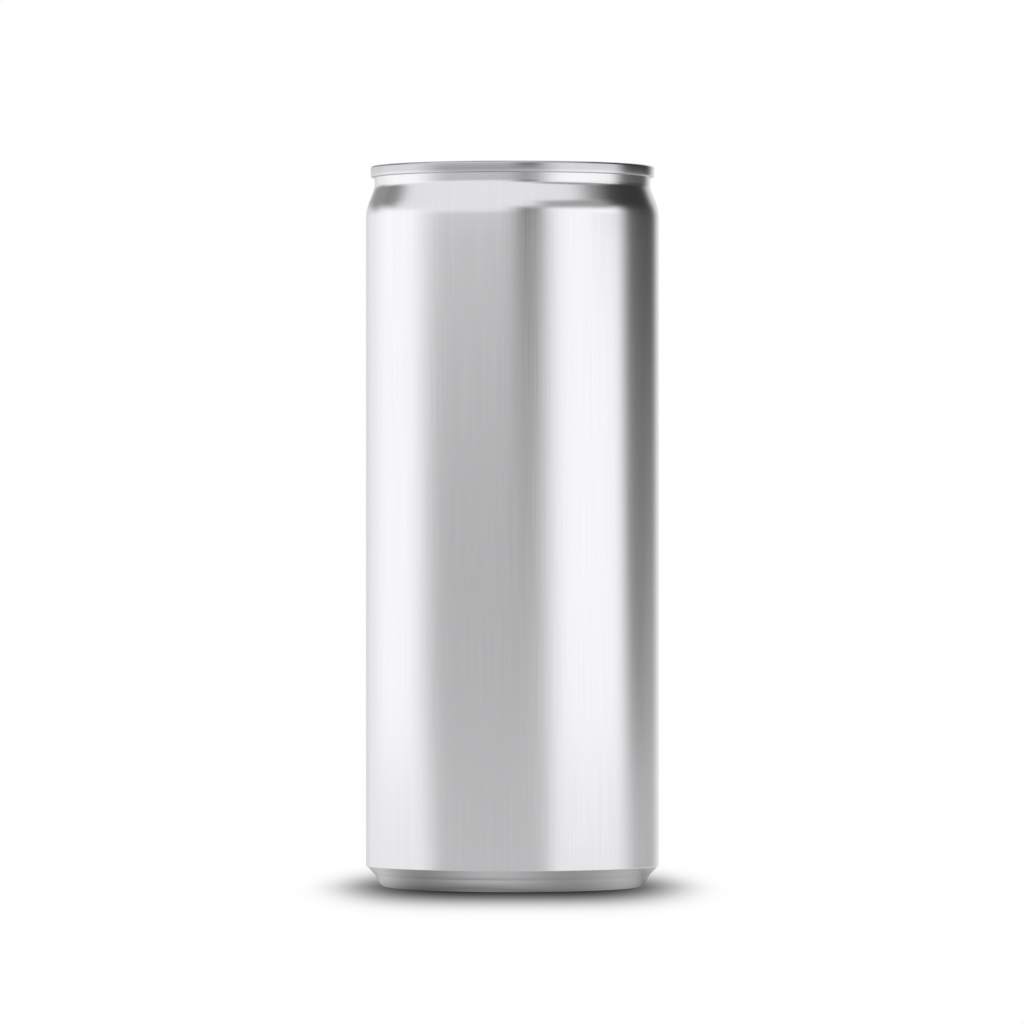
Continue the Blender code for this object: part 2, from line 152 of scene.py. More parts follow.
# Tab
TAB_GAUGE = 0.25 * MM
TAB_NOSE_REACH = 7.0 * MM
TAB_HEEL_REACH = 16.6 * MM
TAB_NOSE_RADIUS = 7.2 * MM
TAB_HEEL_RADIUS = 6.7 * MM
TAB_ARC_STEPS = 48
CURL_RADIUS = 0.6 * MM
CURL_CLEARANCE = 0.12 * MM
CURL_STEPS = 24
TAB_HINGE_REACH = 3.6 * MM
FINGER_HOLE_WIDTH = 9.0 * MM
FINGER_HOLE_LENGTH = 6.2 * MM
FINGER_HOLE_Y = 10.4 * MM
FINGER_CURL_RADIUS = 0.45 * MM
FINGER_CURL_STEPS = 20
FINGER_ARC_STEPS = 32
TONGUE_WIDTH = 7.0 * MM
TONGUE_REAR = 4.0 * MM
TONGUE_ARC_STEPS = 32
TONGUE_GAP = 0.4 * MM
TONGUE_EDGE_ROUND = 0.05 * MM
TONGUE_EDGE_STEPS = 2

# Metals: colours, gloss, and the noise cells per turn, per height or per metre
WALL_COLOUR = (0.968, 0.970, 0.988)
WALL_ROUGHNESS = 0.19
WALL_ANISOTROPY = 0.65
NOISE_DETAIL = 4.0
FINE_LINES = (900.0, 5.0, 1.0)
FINE_SHADES = (0.91, 1.05)
WIDE_LINES = (60.0, 2.0, 1.0)
WIDE_SHADES = (0.98, 1.0)
LINE_HEIGHT = 0.02 * MM
LINE_STRENGTH = 0.05
LID_COLOUR = (0.70, 0.702, 0.725)
LID_GRAIN = (4000.0, 60.0, 60.0)
TAB_COLOUR = (0.895, 0.897, 0.915)
TAB_GRAIN = (60.0, 3500.0, 60.0)
SHEET_ROUGHNESS = 0.2
SHEET_MOTTLE = 260.0
SHEET_SHADES = (0.95, 1.0)
ROUGHNESS_SWING = 0.05
# Painted shadow at the seam's foot and painted highlight just above it, as factors on the colour
SEAM_SHADOW_LEVEL = 0.35
SEAM_HIGHLIGHT_LEVEL = 1.24
COMPOUND_COLOUR = (0.36, 0.37, 0.37)
COMPOUND_ROUGHNESS = 0.75
COMPOUND_GRAIN = 2500.0
COMPOUND_SHADES = (0.8, 1.1)

# Camera
CAMERA_DISTANCE = 1.42
CAMERA_HEIGHT = 67.7 * MM
CAMERA_ACROSS = -0.08 * MM
CAMERA_LENS_MM = 275.8
SENSOR_MM = 36.0

# Studio
FLOOR_SIZE = 12.0
FLOOR_COLOUR = (0.8, 0.8, 0.8, 1.0)
WHITE = (1.0, 1.0, 1.0, 1.0)
STUDIO_RADIUS = 0.75
STUDIO_HEIGHT = 1.25
STUDIO_FLOOR_GAP = 0.009
STUDIO_FLOOR_HEIGHT = 0.002
STUDIO_SEGMENTS = 180
# Sizes and powers of the floor's painted soft oval shadow round the can
SHADOW_HALF_WIDTH = 30.6 * MM
SHADOW_HALF_LENGTH = 66.0 * MM
SHADOW_SHIFT = 2.5 * MM
SHADOW_SIDE_POWER = 3.8
SHADOW_END_POWER = 1.7
SHADOW_FADE_POWER = 1.75
DIFFUSE_SKY = 0.5

# Painted brightness of the floor that only reflections see, as the base mirrors it: below its foot,
# outside the foot and below the dome
FOOT_LEVEL = 0.37
FOOT_LEAST = 0.45
FOOT_INNER = 20.6 * MM
FOOT_OUTER = 25.8 * MM
FOOT_SWING = 2.8 * MM
FOOT_WAVES = 2.6
FOOT_TURN = math.radians(18)
FOOT_LEAN = 0.28
FOOT_LEAN_BEND = -0.5
RIPPLE_SWING = 0.28
RIPPLE_WAVES = 4.93
RIPPLE_TURN = math.radians(10)
WAVE_FADE = (20.0 * MM, 0.0)
OUTSIDE_FADE = (25.0 * MM, 34.0 * MM)
OUTSIDE_LEVEL = 0.52
DOME_FADE = (19.5 * MM, 4.0 * MM)
DOME_LEVEL = 0.6


class Panel(NamedTuple):
    """One soft-edged panel of the studio, in degrees right of the camera and metres up the wall."""

    name: str
    level: float
    turns: tuple
    turn_edge: float
    heights: tuple
    height_edge: float


# Panels of the studio. Later ones cover earlier ones, and heights below 0 lie on the floor.
STUDIO_LEVEL = 0.44
FLOOR_LEVEL = 0.525
ALL_ROUND = (-200, 200)
FLOOR_END = -1.0
WALL_END = 1.3
CEILING_END = 3.0
STUDIO_PANELS = (
    Panel("floor", FLOOR_LEVEL, ALL_ROUND, 10, (FLOOR_END, 0.0), 0.08),
    Panel("front light", 0.80, (-108, 65), 22, (0.175, WALL_END), 0.28),
    Panel("upper left dark", 0.20, (-175, -112), 20, (0.32, WALL_END), 0.16),
    Panel("upper right dark", 0.04, (77, 165), 22, (0.34, WALL_END), 0.16),
    Panel("dark strip beside the camera", 0.15, (3, 26), 18, (0.10, 0.39), 0.18),
    Panel("left light", 1.00, (-162, -73), 36, (FLOOR_END, 0.28), 0.14),
    Panel("rear of the left light", 0.86, (-170, -130), 24, (FLOOR_END, 0.28), 0.14),
    Panel("dark above the left light", 0.28, (-168, -132), 16, (0.22, 0.60), 0.12),
    Panel("right light", 1.00, (29, 115), 30, (FLOOR_END, 0.34), 0.18),
    Panel("left light on the floor", 0.85, (-162, -73), 36, (FLOOR_END, -0.15), 0.40),
    Panel("right light on the floor", 0.85, (29, 115), 30, (FLOOR_END, -0.15), 0.40),
    Panel("floor beside the right light", FLOOR_LEVEL, (8, 28), 20, (FLOOR_END, 0.01), 0.06),
    Panel("dim strip across the right light", 0.78, (66, 112), 26, (0.145, 0.19), 0.05),
    Panel("dark above the right light", 0.34, (22, 86), 20, (0.36, 0.62), 0.14),
    Panel("right shade", 0.46, (102, 160), 30, (FLOOR_END, 0.30), 0.10),
    Panel("edge of the right shade", 0.33, (104, 128), 14, (0.0, 0.09), 0.07),
    Panel("upper right shade", 0.055, (98, 160), 16, (0.055, WALL_END), 0.24),
    Panel("top of the right shade", 0.03, (100, 160), 24, (0.28, WALL_END), 0.16),
    Panel("right rear light", 0.90, (153, 190), 24, (FLOOR_END, 0.30), 0.10),
    Panel("left rear light", 0.72, (-190, -154), 20, (FLOOR_END, 0.20), 0.12),
    Panel("top of the left rear light", 0.80, (-190, -152), 16, (0.36, WALL_END), 0.20),
    Panel("top of the right rear light", 0.80, (152, 190), 16, (0.26, WALL_END), 0.20),
    Panel("ceiling", 0.45, ALL_ROUND, 10, (STUDIO_HEIGHT, CEILING_END), 0.10),
)

# Sizes that follow from the ones above
COVER_HOOK_INNER = NECK_RADIUS + SEAM_CLEARANCE
BODY_HOOK_INNER = COVER_HOOK_INNER + END_GAUGE + SEAM_CLEARANCE
SEAM_WALL_INNER = BODY_HOOK_INNER + NECK_GAUGE + SEAM_CLEARANCE
SEAM_RADIUS = SEAM_WALL_INNER + END_GAUGE
CHUCK_WALL_OUTER = NECK_RADIUS - NECK_GAUGE - SEAM_CLEARANCE
CHUCK_WALL_RADIUS = CHUCK_WALL_OUTER - END_GAUGE
BODY_HOOK_TOP = CAN_HEIGHT - END_GAUGE - COMPOUND_SPACE
SEAM_BOTTOM = CAN_HEIGHT - SEAM_HEIGHT
COUNTERSINK_OUTER = CHUCK_WALL_RADIUS - CHUCK_WALL_RUN
COUNTERSINK_INNER = COUNTERSINK_OUTER - COUNTERSINK_WIDTH
PANEL_RADIUS = COUNTERSINK_INNER - PANEL_WALL_RUN
PANEL_TOP = CAN_HEIGHT - PANEL_DEPTH
PANEL_FLAT_RADIUS = PANEL_RADIUS - 2 * PANEL_EDGE_ROUND
PAD_EDGE = RIVET_PAD_RADIUS + RIVET_PAD_SLOPE
RIVET_PAD_TOP = PANEL_TOP + RIVET_PAD_RISE
WEB_BOTTOM = RIVET_PAD_TOP + RIVET_CLEARANCE
WEB_TOP = WEB_BOTTOM + TAB_GAUGE
RIVET_HEAD_BOTTOM = WEB_TOP + RIVET_CLEARANCE
RIVET_HEAD_TOP = RIVET_HEAD_BOTTOM + RIVET_HEAD_HEIGHT
CURL_MIDDLE = PANEL_TOP + CURL_CLEARANCE + CURL_RADIUS
TAB_HINGE_Y = -TAB_HINGE_REACH
OPENING_FRONT = PANEL_RADIUS - OPENING_EDGE_MARGIN
OPENING_FRONT_ROUND = (OPENING_WIDTH - OPENING_FRONT_FLAT) / 2
OPENING_SHOULDER = OPENING_FRONT - OPENING_FRONT_ROUND - OPENING_SIDE_LENGTH


# Paths and meshes


def corner_arc(before, corner, after, radius):
    """Points that round one corner of a path with an arc of the given radius."""
    arriving = (corner - before).normalized()
    leaving = (after - corner).normalized()
    turn = math.atan2(arriving.cross(leaving), arriving.dot(leaving))
    if radius <= 0 or abs(turn) < STRAIGHT:
        return [corner]
    start = corner - arriving * radius * math.tan(abs(turn) / 2)
    centre = start + Vector((-arriving.y, arriving.x)) * math.copysign(radius, turn)
    widest_step = 2 * math.acos(max(0.0, 1 - CHORD_ERROR / radius))
    steps = max(LEAST_ARC_STEPS, math.ceil(abs(turn) / widest_step))
    spoke = start - centre
    return [centre + Matrix.Rotation(turn * i / steps, 2) @ spoke for i in range(steps + 1)]


def apart(points):
    """The points without those that fall on the one before, as where two arcs meet."""
    kept = points[:1]
    for point in points[1:]:
        if (point - kept[-1]).length > WELD:
            kept.append(point)
    return kept


def rounded_path(corners):
    """An open path through (radius, height, rounding) corners. Its two ends stay sharp."""
    spots = [Vector(corner[:2]) for corner in corners]
    points = [spots[0]]
    for i in range(1, len(corners) - 1):
        points += corner_arc(spots[i - 1], spots[i], spots[i + 1], corners[i][2])
    return apart(points + [spots[-1]])


def rounded_loop(corners):
    """A closed loop through (x, y, rounding) corners."""
    spots = [Vector(corner[:2]) for corner in corners]
    points = []
    for i, corner in enumerate(corners):
        after = spots[(i + 1) % len(spots)]
        points += corner_arc(spots[i - 1], spots[i], after, corner[2])
    return apart(points)


def moved_left(before, point, after, distance):
    """The point moved to the left of its path, so that both neighbouring sides move by the distance."""
    sides = [side.normalized() for side in (point - before, after - point) if side.length > 0]
    normals = [Vector((-side.y, side.x)) for side in sides]
    mean = sum(normals, Vector((0.0, 0.0))).normalized()
    return point + mean * distance / mean.dot(normals[0])


def path_left(points, distances):
    """An open path moved to its left, by its own distance at each point."""
    last = len(points) - 1
    return [
        moved_left(points[max(i - 1, 0)], point, points[min(i + 1, last)], distances[i])
        for i, point in enumerate(points)
    ]


def loop_left(points, distance):
    """A closed loop moved to its left. A loop that runs counterclockwise shrinks."""
    count = len(points)
    return [
        moved_left(points[i - 1], point, points[(i + 1) % count], distance)
        for i, point in enumerate(points)
    ]


def placed(name, data):
    """A new object in the scene with the mesh or camera."""
    made = bpy.data.objects.new(name, data)
    bpy.context.scene.collection.objects.link(made)
    return made


def mesh_from(name, bm):
    """A mesh from the working mesh, which is freed."""
    mesh = bpy.data.meshes.new(name)
    bm.to_mesh(mesh)
    bm.free()
    return mesh


def finished(name, bm, material):
    """An object from the mesh, facing out and shaded smooth between sharp edges."""
    bmesh.ops.recalc_face_normals(bm, faces=bm.faces)
    if bm.calc_volume(signed=True) < 0:
        bmesh.ops.reverse_faces(bm, faces=bm.faces)
    mesh = mesh_from(name, bm)
    mesh.shade_smooth()
    mesh.set_sharp_from_angle(angle=SHARP_ANGLE)
    if material:
        mesh.materials.append(material)
    return placed(name, mesh)


def circle(radius):
    """Points of a circle round the can's axis."""
    angles = [math.tau * j / SEGMENTS for j in range(SEGMENTS)]
    return [Vector((radius * math.cos(angle), radius * math.sin(angle))) for angle in angles]


def spun_ring(bm, point):
    """The vertices of a (radius, height) point spun round the axis. On the axis it is one vertex."""
    if point.x < ON_AXIS:
        return [bm.verts.new((0.0, 0.0, point.y))] * SEGMENTS
    return [bm.verts.new((spot.x, spot.y, point.y)) for spot in circle(point.x)]


def neighbours(rings, closed):
    """Each ring with the next one, and the last with the first where the skin closes."""
    pairs = list(zip(rings, rings[1:]))
    if closed:
        pairs.append((rings[-1], rings[0]))
    return pairs


def turned(name, outline, closed, material):
    """The (radius, height) outline spun round the axis, with the turn and the height as its UV map."""
    bm = bmesh.new()
    layer = bm.loops.layers.uv.new("UVMap")
    rings = [spun_ring(bm, point) for point in outline]
    for one, other in neighbours(rings, closed):
        for j in range(SEGMENTS):
            k = (j + 1) % SEGMENTS
            turns = {}
            for vert, turn in ((one[j], j), (one[k], j + 1), (other[k], j + 1), (other[j], j)):
                turns.setdefault(vert, turn)
            if len(turns) < 3:
                continue
            face = bm.faces.new(list(turns))
            for loop in face.loops:
                loop[layer].uv = (turns[loop.vert] / SEGMENTS, loop.vert.co.z / CAN_HEIGHT)
    return finished(name, bm, material)


def plate(name, outline, bottom, top, material=None):
    """A flat plate with the (x, y) outline between two heights."""
    bm = bmesh.new()
    rim = [bm.verts.new((point.x, point.y, bottom)) for point in outline]
    face = bm.faces.new(rim)
    raised = bmesh.ops.extrude_face_region(bm, geom=[face])
    lifted = [item for item in raised["geom"] if isinstance(item, bmesh.types.BMVert)]
    bmesh.ops.translate(bm, verts=lifted, vec=(0.0, 0.0, top - bottom))
    return finished(name, bm, material)


def cutter(name, outline, bottom, top):
    """A plate that reaches well past both faces of a sheet, to cut the outline out of it."""
    return plate(name, outline, bottom - CUTTER_REACH, top + CUTTER_REACH)


def skinned(name, loops, closed, material):
    """Walls between neighbouring loops of points. The ends are closed with flat faces, or joined."""
    bm = bmesh.new()
    rings = [[bm.verts.new(point) for point in loop] for loop in loops]
    for one, other in neighbours(rings, closed):
        for i in range(len(one)):
            bm.faces.new((one[i - 1], one[i], other[i], other[i - 1]))
    if not closed:
        bm.faces.new(rings[0])
        bm.faces.new(rings[-1])
    return finished(name, bm, material)


def combine(target, other, operation):
    """Applies a Boolean to the target and removes the other object."""
    change = target.modifiers.new(other.name, "BOOLEAN")
    change.operation = operation
    change.solver = "EXACT"
    change.object = other
    bpy.context.view_layer.update()
    result = target.evaluated_get(bpy.context.evaluated_depsgraph_get())
    mesh = bpy.data.meshes.new_from_object(result)
    target.modifiers.clear()
    target.data = mesh
    mesh.shade_smooth()
    mesh.set_sharp_from_angle(angle=SHARP_ANGLE)
    bpy.data.objects.remove(other)


def soften(made, width, steps):
    """Rounds the sharp edges of a thin piece, so that they catch the light."""
    bevel = made.modifiers.new("edge", "BEVEL")
    bevel.width = width
    bevel.segments = steps
    bevel.limit_method = "ANGLE"
    bevel.angle_limit = SHARP_ANGLE


# Materials


class Nodes:
    """Short hand for adding and linking the nodes of one material or world."""

    def __init__(self, owner):
        owner.use_nodes = True
        self.tree = owner.node_tree

    def shader(self):
        return self.tree.nodes["Principled BSDF"]

    def add(self, kind, inputs=None, **settings):
        """A new node with its settings. Each input is linked to a socket or set to a value."""
        node = self.tree.nodes.new(kind)
        for key, value in settings.items():
            setattr(node, key, value)
        for key, value in (inputs or {}).items():
            if isinstance(value, bpy.types.NodeSocket):
                self.tree.links.new(value, node.inputs[key])
            else:
                node.inputs[key].default_value = value
        return node

    def link(self, socket, target):
        self.tree.links.new(socket, target)

    def math(self, operation, *values):
        inputs = dict(enumerate(values))
        return self.add("ShaderNodeMath", inputs, operation=operation).outputs["Value"]

    def stretch(self, value, ends, interpolation="LINEAR"):
        """The value stretched so that the ends become 0 and 1."""
        inputs = {"Value": value, "From Min": ends[0], "From Max": ends[1]}
        return self.add("ShaderNodeMapRange", inputs, interpolation_type=interpolation).outputs["Result"]

    def between(self, value, ends):
        """The value, which runs from 0 to 1, stretched to run from one end to the other."""
        node = self.add("ShaderNodeMapRange", {"Value": value, "To Min": ends[0], "To Max": ends[1]})
        return node.outputs["Result"]

    def length(self, vector):
        return self.add("ShaderNodeVectorMath", {0: vector}, operation="LENGTH").outputs["Value"]

    def shaded(self, colour, shade):
        """The colour times the shade."""
        node = self.add("ShaderNodeVectorMath", {0: colour, "Scale": shade}, operation="SCALE")
        return node.outputs["Vector"]

    def mix_shaders(self, share, one, other):
        return self.add("ShaderNodeMixShader", {0: share, 1: one, 2: other}).outputs["Shader"]

    def finish(self, shader):
        self.link(shader, self.tree.nodes["Material Output"].inputs["Surface"])

    def noise(self, place, scale):
        """Soft noise from 0 to 1, with so many cells along each direction of the place."""
        spread = self.add("ShaderNodeMapping", {"Vector": place, "Scale": scale}).outputs["Vector"]
        inputs = {"Vector": spread, "Scale": 1.0, "Detail": NOISE_DETAIL}
        return self.add("ShaderNodeTexNoise", inputs).outputs["Fac"]


def bare_metal(name):
    """A new metal and its nodes."""
    material = bpy.data.materials.new(name)
    nodes = Nodes(material)
    nodes.shader().inputs["Metallic"].default_value = 1.0
    return material, nodes


def surface(nodes, colour, shade, roughness, lines):
    """Gives a metal its shaded colour, and fine lines in its gloss and its height."""
    shader = nodes.shader()
    nodes.link(nodes.shaded(colour, shade), shader.inputs["Base Color"])
    gloss = nodes.between(lines, (roughness - ROUGHNESS_SWING, roughness + ROUGHNESS_SWING))
    nodes.link(gloss, shader.inputs["Roughness"])
    relief_inputs = {"Strength": LINE_STRENGTH, "Distance": LINE_HEIGHT, "Height": lines}
    bump = nodes.add("ShaderNodeBump", relief_inputs)
    nodes.link(bump.outputs["Normal"], shader.inputs["Normal"])


def drawn_aluminium():
    """The body's metal with upright ironing lines, from a UV map whose first value runs round the can."""
    material, nodes = bare_metal("drawn_wall")
    nodes.shader().inputs["Anisotropic"].default_value = WALL_ANISOTROPY
    place = nodes.add("ShaderNodeUVMap", uv_map="UVMap").outputs["UV"]
    fine = nodes.noise(place, FINE_LINES)
    wide = nodes.noise(place, WIDE_LINES)
    shade = nodes.math("MULTIPLY", nodes.between(wide, WIDE_SHADES), nodes.between(fine, FINE_SHADES))
    surface(nodes, WALL_COLOUR, shade, WALL_ROUGHNESS, fine)
    return material


def painted_seam_light(nodes, place):
    """Painted shade and highlight on the seam's outside: a painted shadow where its foot meets the neck,
    and a painted highlight just above.
    """
    height = nodes.add("ShaderNodeSeparateXYZ", {"Vector": place}).outputs["Z"]
    flat = nodes.add("ShaderNodeVectorMath", {0: place, 1: (1.0, 1.0, 0.0)}, operation="MULTIPLY")
    outside = nodes.math("GREATER_THAN", nodes.length(flat.outputs["Vector"]), NECK_RADIUS)
    shadow_top = SEAM_BOTTOM + SEAM_SHADOW_HEIGHT
    highlight_top = SEAM_BOTTOM + SEAM_HIGHLIGHT_HEIGHT
    seam_shadow = nodes.stretch(height, (SEAM_BOTTOM, shadow_top))
    seam_highlight = nodes.stretch(height, (shadow_top, highlight_top), "SMOOTHSTEP")
    shadowed = nodes.between(seam_shadow, (SEAM_SHADOW_LEVEL, 1.0))
    shade = nodes.math("MULTIPLY", shadowed, nodes.between(seam_highlight, (SEAM_HIGHLIGHT_LEVEL, 1.0)))
    return nodes.add("ShaderNodeMix", {"Factor": outside, "A": 1.0, "B": shade}).outputs["Result"]


def rolled_aluminium(name, colour, grain):
    """Rolled sheet with fine straight grain along one direction of the sheet, a faint mottle, and the
    seam's painted shadow and highlight.
    """
    material, nodes = bare_metal(name)
    place = nodes.add("ShaderNodeTexCoord").outputs["Object"]
    mottle = nodes.between(nodes.noise(place, (SHEET_MOTTLE,) * 3), SHEET_SHADES)
    # The mottle is the sheet's own tone. The seam's painted shadow and painted highlight multiply it.
    shade = nodes.math("MULTIPLY", mottle, painted_seam_light(nodes, place))
    surface(nodes, colour, shade, SHEET_ROUGHNESS, nodes.noise(place, grain))
    return material


def sealing_compound():
    """Dull grey elastic with a fine grain."""
    material = bpy.data.materials.new("sealing_compound")
    nodes = Nodes(material)
    shader = nodes.shader()
    shader.inputs["Roughness"].default_value = COMPOUND_ROUGHNESS
    place = nodes.add("ShaderNodeTexCoord").outputs["Object"]
    shade = nodes.between(nodes.noise(place, (COMPOUND_GRAIN,) * 3), COMPOUND_SHADES)
    nodes.link(nodes.shaded(COMPOUND_COLOUR, shade), shader.inputs["Base Color"])
    return material


# Can body


def base_path():
    """Outer face of the base, from the middle of the dome out to the foot of the wall."""
    edge_radius = BODY_RADIUS - DOME_EDGE_RUN
    rise = DOME_HEIGHT - DOME_EDGE_HEIGHT
    dome_radius = (edge_radius**2 + rise**2) / (2 * rise)
    widest = math.asin(edge_radius / dome_radius)
    dome = []
    for i in range(DOME_STEPS):
        angle = widest * i / DOME_STEPS
        drop = dome_radius * (1 - math.cos(angle))
        dome.append(Vector((dome_radius * math.sin(angle), DOME_HEIGHT - drop)))
    edge = dome[-1]
    ring = rounded_path(
        [
            (edge.x, edge.y, 0.0),
            (edge_radius, DOME_EDGE_HEIGHT, RING_INNER_ROUND),
            (BODY_RADIUS - RING_INNER_RUN, 0.0, RING_INNER_ROUND),
            (BODY_RADIUS - HEEL_RUN, 0.0, HEEL_ROUND),
            (BODY_RADIUS - KNEE_RUN, KNEE_HEIGHT, KNEE_ROUND),
            (BODY_RADIUS, BASE_CORNER_HEIGHT, BASE_CORNER_ROUND),
            (BODY_RADIUS, THICK_BASE_HEIGHT, 0.0),
        ]
    )
    return dome[:-1] + ring


def neck_path():
    """Outer face of the neck, from the top of the wall to the tip of the hook inside the seam."""
    bend = (BODY_HOOK_INNER - NECK_RADIUS) / 2
    bend_top = BODY_HOOK_TOP - NECK_GAUGE
    return rounded_path(
        [
            (BODY_RADIUS, CAN_HEIGHT - THIN_WALL_DEPTH, 0.0),
            (BODY_RADIUS, CAN_HEIGHT - SHOULDER_DEPTH, SHOULDER_ROUND),
            (THROAT_RADIUS, CAN_HEIGHT - THROAT_DEPTH, THROAT_ROUND),
            (NECK_RADIUS, SEAM_BOTTOM, 0.0),
            (NECK_RADIUS, bend_top, bend),
            (BODY_HOOK_INNER, bend_top, bend),
            (BODY_HOOK_INNER, SEAM_BOTTOM + END_GAUGE + HOOK_END_GAP, 0.0),
        ]
    )


def dress_body():
    """The drawn sheet of the base, the wall, the neck and the hook inside the seam."""
    base = base_path()
    neck = neck_path()
    # The sheet thins from the base up to the wall, and thickens again into the neck.
    gauges = [BASE_GAUGE] * (len(base) - 1) + [WALL_GAUGE] * 2 + [NECK_GAUGE] * (len(neck) - 1)
    outside = base + neck
    inside = path_left(outside, gauges)
    inside[0] = outside[0] + Vector((0.0, BASE_GAUGE))
    made = turned("body_shell", outside + inside[::-1], False, drawn_aluminium())
    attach(made, "can")
    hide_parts("can_body")


# Lid


def smooth_step(low, high, value):
    """0 below the low value, 1 above the high one, and a smooth rise between them."""
    share = min(max((value - low) / (high - low), 0.0), 1.0)
    return share * share * (3 - 2 * share)


def oval_inset(x, y, centre_y, half_width, half_length):
    """About how far a point lies inside an oval on the lid's centre line. It is negative outside."""
    reach = math.hypot(x / half_width, (y - centre_y) / half_length)
    return (1 - reach) * min(half_width, half_length)


def hinge_reach(x, y):
    """How far a point lies from the middle of the slanting hinge, 1 on the rim of a narrow oval."""
    from_x = x + (OPENING_WIDTH + OPENING_REAR_WIDTH) / 4
    from_y = y + (OPENING_SHOULDER + OPENING_REAR) / 2
    along = (from_x + from_y) / math.sqrt(2)
    across = (from_x - from_y) / math.sqrt(2)
    return math.hypot(along / FLAP_HINGE_HALF_LENGTH, across / FLAP_HINGE_HALF_WIDTH)


def relief(x, y):
    """Height of the pressed relief in the lid's panel. The sheet stays flat at the rivet and the hinge."""
    deboss = smooth_step(0, DEBOSS_EDGE, oval_inset(x, y, 0.0, DEBOSS_HALF_WIDTH, DEBOSS_HALF_LENGTH))
    well = smooth_step(0, WELL_EDGE, oval_inset(x, y, WELL_Y, WELL_HALF_WIDTH, WELL_HALF_LENGTH))
    from_ridge = abs(oval_inset(x, y, FLAP_BEAD_Y, FLAP_BEAD_HALF_WIDTH, FLAP_BEAD_HALF_LENGTH))
    ridge = 1 - smooth_step(0, FLAP_BEAD_WIDTH, from_ridge)
    pad = smooth_step(PAD_EDGE, PAD_EDGE + PAD_FADE, math.hypot(x, y))
    bend = smooth_step(1.0, FLAP_HINGE_FADE, hinge_reach(x, y))
    return pad * bend * (ridge * FLAP_BEAD_HEIGHT - deboss * DEBOSS_DEPTH - well * WELL_DEPTH)


def press_relief(made):
    """Presses the relief into both faces of the panel."""
    for vert in made.data.vertices:
        reach = math.hypot(vert.co.x, vert.co.y)
        flat = PANEL_TOP - 2 * END_GAUGE < vert.co.z < PANEL_TOP + END_GAUGE / 2
        if flat and PAD_EDGE <= reach <= PANEL_FLAT_RADIUS:
            vert.co.z += relief(vert.co.x, vert.co.y)


def panel_rings():
    """Points across the flat of the panel, from its edge in to the rivet's pad."""
    count = math.ceil((PANEL_FLAT_RADIUS - PAD_EDGE) / PANEL_RING_STEP)
    step = (PANEL_FLAT_RADIUS - PAD_EDGE) / count
    return [Vector((PANEL_FLAT_RADIUS - step * i, PANEL_TOP)) for i in range(count + 1)]


def end_path():
    """Upper face of the lid, from the tip of its hook over the seam and the countersink to the stem."""
    seam_bend = (SEAM_RADIUS - SEAM_TAPER - COVER_HOOK_INNER) / 2
    hook_top = BODY_HOOK_TOP - NECK_GAUGE - HOOK_END_GAP
    countersink = CAN_HEIGHT - COUNTERSINK_DEPTH
    outer = rounded_path(
        [
            (COVER_HOOK_INNER, hook_top, 0.0),
            (COVER_HOOK_INNER, SEAM_BOTTOM, seam_bend),
            (SEAM_RADIUS - SEAM_TAPER, SEAM_BOTTOM, seam_bend),
            (SEAM_RADIUS, CAN_HEIGHT, SEAM_TOP_ROUND),
            (CHUCK_WALL_RADIUS, CAN_HEIGHT, SEAM_TOP_ROUND),
            (CHUCK_WALL_RADIUS, CAN_HEIGHT - CHUCK_WALL_STRAIGHT, CHUCK_WALL_ROUND),
            (COUNTERSINK_OUTER, countersink, COUNTERSINK_ROUND),
            (COUNTERSINK_INNER, countersink, COUNTERSINK_ROUND),
            (PANEL_RADIUS, PANEL_TOP, PANEL_EDGE_ROUND),
            (PANEL_FLAT_RADIUS, PANEL_TOP, 0.0),
        ]
    )
    pad = rounded_path(
        [
            (PAD_EDGE, PANEL_TOP, 0.0),
            (RIVET_PAD_RADIUS, RIVET_PAD_TOP, RIVET_PAD_SLOPE / 2),
            (RIVET_STEM_RADIUS, RIVET_PAD_TOP, 0.0),
        ]
    )
    return outer[:-1] + panel_rings() + pad[1:]


def rivet_top():
    """Outside of the rivet from its stem to the dimple in the middle of its head."""
    dimple = RIVET_HEAD_TOP - RIVET_DIMPLE_DEPTH
    return rounded_path(
        [
            (RIVET_STEM_RADIUS, RIVET_HEAD_BOTTOM, 0.0),
            (RIVET_HEAD_RADIUS, RIVET_HEAD_BOTTOM, RIVET_HEAD_ROUND),
            (RIVET_HEAD_RADIUS, RIVET_HEAD_TOP, RIVET_HEAD_ROUND),
            (RIVET_DIMPLE_RADIUS, RIVET_HEAD_TOP, RIVET_HEAD_ROUND),
            (RIVET_DIMPLE_RADIUS - RIVET_DIMPLE_DEPTH, dimple, RIVET_HEAD_ROUND / 2),
            (0.0, dimple, 0.0),
        ]
    )


def rivet_hollow():
    """Inside of the rivet, from the middle of its roof down to the underside of the pad."""
    bore = RIVET_STEM_RADIUS - RIVET_WALL
    roof = RIVET_HEAD_TOP - RIVET_DIMPLE_DEPTH - RIVET_WALL / 2
    return rounded_path(
        [
            (0.0, roof, 0.0),
            (bore, roof, RIVET_WALL / 2),
            (bore, RIVET_PAD_TOP - END_GAUGE, 0.0),
        ]
    )


def opening_outline():
    """Edge of the pour opening, counterclockwise from its left rear corner."""
    half_width = OPENING_WIDTH / 2
    half_rear = OPENING_REAR_WIDTH / 2
    return rounded_loop(
        [
            (-half_rear, -OPENING_REAR, OPENING_HINGE_ROUND),
            (-half_width, -OPENING_SHOULDER, OPENING_HINGE_ROUND),
            (-half_width, -OPENING_FRONT, OPENING_FRONT_ROUND),
            (half_width, -OPENING_FRONT, OPENING_FRONT_ROUND),
            (half_width, -OPENING_SHOULDER, OPENING_SIDE_ROUND),
            (half_rear, -OPENING_REAR, OPENING_SIDE_ROUND),
        ]
    )


